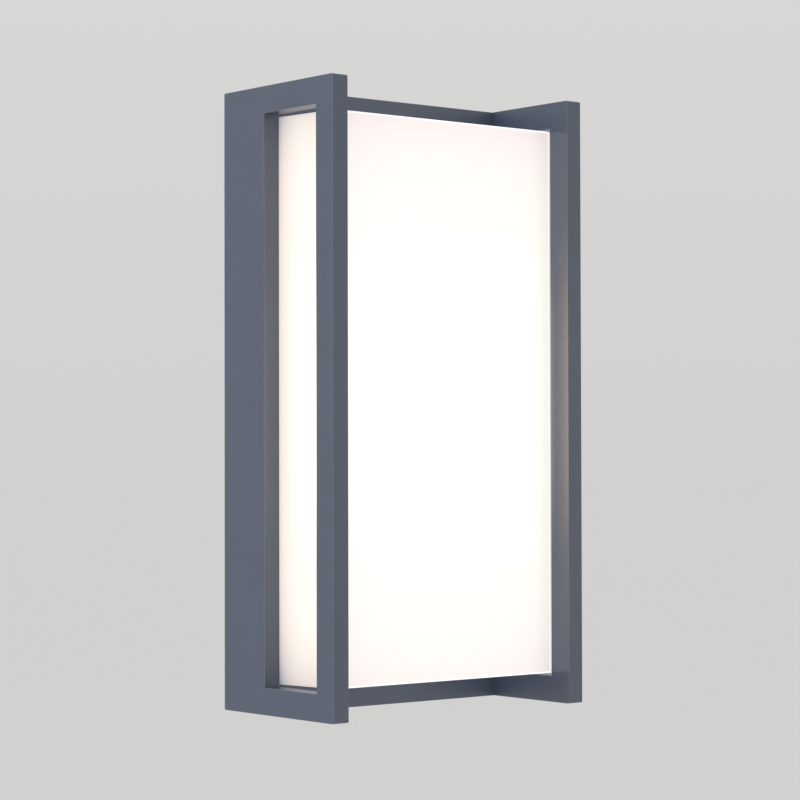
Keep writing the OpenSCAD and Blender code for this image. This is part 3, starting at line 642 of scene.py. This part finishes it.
def bent_bracket(material):
    """The bracket as it leaves the press brake: round bends at its two tabs, deburred edges elsewhere."""
    bm = merged_copy("mounting_bracket")
    low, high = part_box("mounting_bracket")
    on_wall = [e for e in outer_edges(bm, least=30)
               if all(abs(v.co.y - high.y) < SAME_PLANE for v in e.verts)]
    bends = [e for e in on_wall
             if all(min(abs(v.co.z - low.z), abs(v.co.z - high.z)) < SAME_PLANE for v in e.verts)]
    ease(bm, bends, 2.2, segments=6)
    ease(bm, outer_edges(bm), 0.2, segments=2)
    mesh = finished(bm, "bent_bracket")
    made = show(mesh, "bent_bracket", BODY_OF["mounting_bracket"], material, ["mounting_bracket"])
    even_shading(made)


def smooth_lead(node, material):
    """A lead as a round, softly bent tube along its CAD solid."""
    bm = bmesh.new()
    bm.from_mesh(CAD[node].data)
    bmesh.ops.remove_doubles(bm, verts=bm.verts, dist=SAME_POINT)
    bmesh.ops.join_triangles(bm, faces=bm.faces, angle_face_threshold=math.radians(40),
                             angle_shape_threshold=math.radians(40))
    bmesh.ops.recalc_face_normals(bm, faces=bm.faces)
    mesh = finished(bm, node, crease=75)
    made = show(mesh, node + "_tube", BODY_OF[node], material, [node])
    soften = made.modifiers.new("round", "SUBSURF")
    soften.levels = 2
    soften.render_levels = 2


def capacitor_cans(material):
    """Two capacitors in sleeves: rolled edge, a crimped groove near one end and a flat foot with a rounded
    edge.
    """
    boxes = solids_of("driver_capacitors")
    low, high = boxes[0]
    length = high.x - low.x
    r = (high.z - low.z) / 2
    single = bmesh.new()
    outline = [(0.0, 0.0), (0.82, 0.0), (0.97, 0.03), (1.0, 0.09), (1.0, 0.2), (0.9, 0.235), (1.0, 0.27),
               (1.0, 0.93), (0.96, 0.98), (0.86, 1.0), (0.8, 0.98), (0.0, 0.98)]
    points = [single.verts.new((r * wide, 0, length * far)) for wide, far in outline]
    lines = [single.edges.new(pair) for pair in zip(points, points[1:])]
    bmesh.ops.spin(single, geom=points + lines, cent=(0, 0, 0), axis=(0, 0, 1), angle=math.tau, steps=28,
                   use_merge=True)
    bmesh.ops.remove_doubles(single, verts=single.verts, dist=SAME_POINT)
    bmesh.ops.recalc_face_normals(single, faces=single.faces)
    lay = Matrix.Rotation(math.pi / 2, 4, "Y")
    places = [Matrix.Translation((a.x, (a.y + b.y) / 2, (a.z + b.z) / 2)) @ lay for a, b in boxes]
    mesh = repeated(single, places, "capacitor_cans")
    show(mesh, "capacitor_cans", BODY_OF["driver_capacitors"], material, ["driver_capacitors"])


def light_chips(case, glow):
    """Each light chip is a white case with a shallow cup, filled with phosphor."""
    boxes = solids_of("led_chips")
    low, high = boxes[0]
    size = high - low
    wall = 0.35 * MM
    cup = 0.15 * MM
    slope = 0.06 * MM
    single = bmesh.new()
    bmesh.ops.create_cube(single, size=1, matrix=Matrix.Diagonal((*size, 1)))
    front = min(single.faces, key=lambda f: f.calc_center_median().y)
    bmesh.ops.inset_individual(single, faces=[front], thickness=wall)
    bmesh.ops.inset_individual(single, faces=[front], thickness=slope, depth=-cup)
    places = [Matrix.Translation((a + b) / 2) for a, b in boxes]
    cases = repeated(single, places, "chip_cases")
    show(cases, "chip_cases", BODY_OF["led_chips"], case, ["led_chips"])

    fill = bmesh.new()
    pad = Matrix.Diagonal((size.x - 2.3 * wall, cup, size.z - 2.3 * wall, 1))
    bmesh.ops.create_cube(fill, size=1, matrix=Matrix.Translation((0, -size.y / 2 + 0.6 * cup, 0)) @ pad)
    ease(fill, fill.edges[:], 0.05, segments=2)
    filled = repeated(fill, places, "chip_phosphor")
    show(filled, "chip_phosphor", BODY_OF["led_chips"], glow, ["led_chips"])


def panelled_lid(material):
    """The driver's lid, with a shallow panel sunk into its outer face."""
    bm = merged_copy("driver_lid")
    ease(bm, outer_edges(bm), 0.5)
    back = max(bm.faces, key=lambda f: (round(f.calc_center_median().y, 5), f.calc_area()))
    bmesh.ops.inset_individual(bm, faces=[back], thickness=2.4 * MM)
    bmesh.ops.inset_individual(bm, faces=[back], thickness=0.3 * MM, depth=-0.35 * MM)
    mesh = finished(bm, "panelled_lid", crease=50)
    made = show(mesh, "driver_lid_panelled", BODY_OF["driver_lid"], material, ["driver_lid"])
    even_shading(made)


# ---------- the lantern ----------

make_camera()
make_stage()

coat = powder_coat()
zinc = zinc_plate()
green = green_passivate()
pbt = moulded_pbt()
nylon = natural_nylon()
black = pvc_lead("black_pvc_lead", "#1b1b1d")

for casting in ("side_frame_left", "side_frame_right", "back_housing"):
    eased(casting, coat, 0.45)
eased("diffuser", opal_polycarbonate(), FRONT_EDGE)
eased("diffuser_gasket", silicone(), 0.3)
eased("wall_gasket", epdm_foam(), 0.3)

bent_bracket(galvanised_sheet())
for name in SCREWS:
    screws(name, green if SLOT_OF[name] == "green_steel" else zinc)
eased("earth_ring", tinned_copper(), 0.15, segments=2)

eased("driver_case", pbt, 0.5)
panelled_lid(pbt)
eased("driver_board", glass_epoxy(), 0.1, segments=1)
eased("driver_transformer", winding_tape(), 0.8)
capacitor_cans(shrunk_sleeve())

eased("terminal_block", nylon, 0.4)
eased("terminal_clamp_screws", zinc, 0.12, segments=1)
smooth_lead("line_lead", black)
smooth_lead("neutral_lead", pvc_lead("white_pvc_lead", "#e9e9e5"))
smooth_lead("earth_lead", pvc_lead("green_pvc_lead", "#2f8f4e"))

eased("lead_grommet", black_rubber(), 0.35)
smooth_lead("led_lead_positive", pvc_lead("red_pvc_lead", "#b3282d"))
smooth_lead("led_lead_negative", black)
eased("led_board", white_solder_mask(), 0.12, segments=1)
eased("reflector_sheet", reflector_film(), 0.1, segments=1)
eased("led_connector", nylon, 0.4)
light_chips(pbt, phosphor())
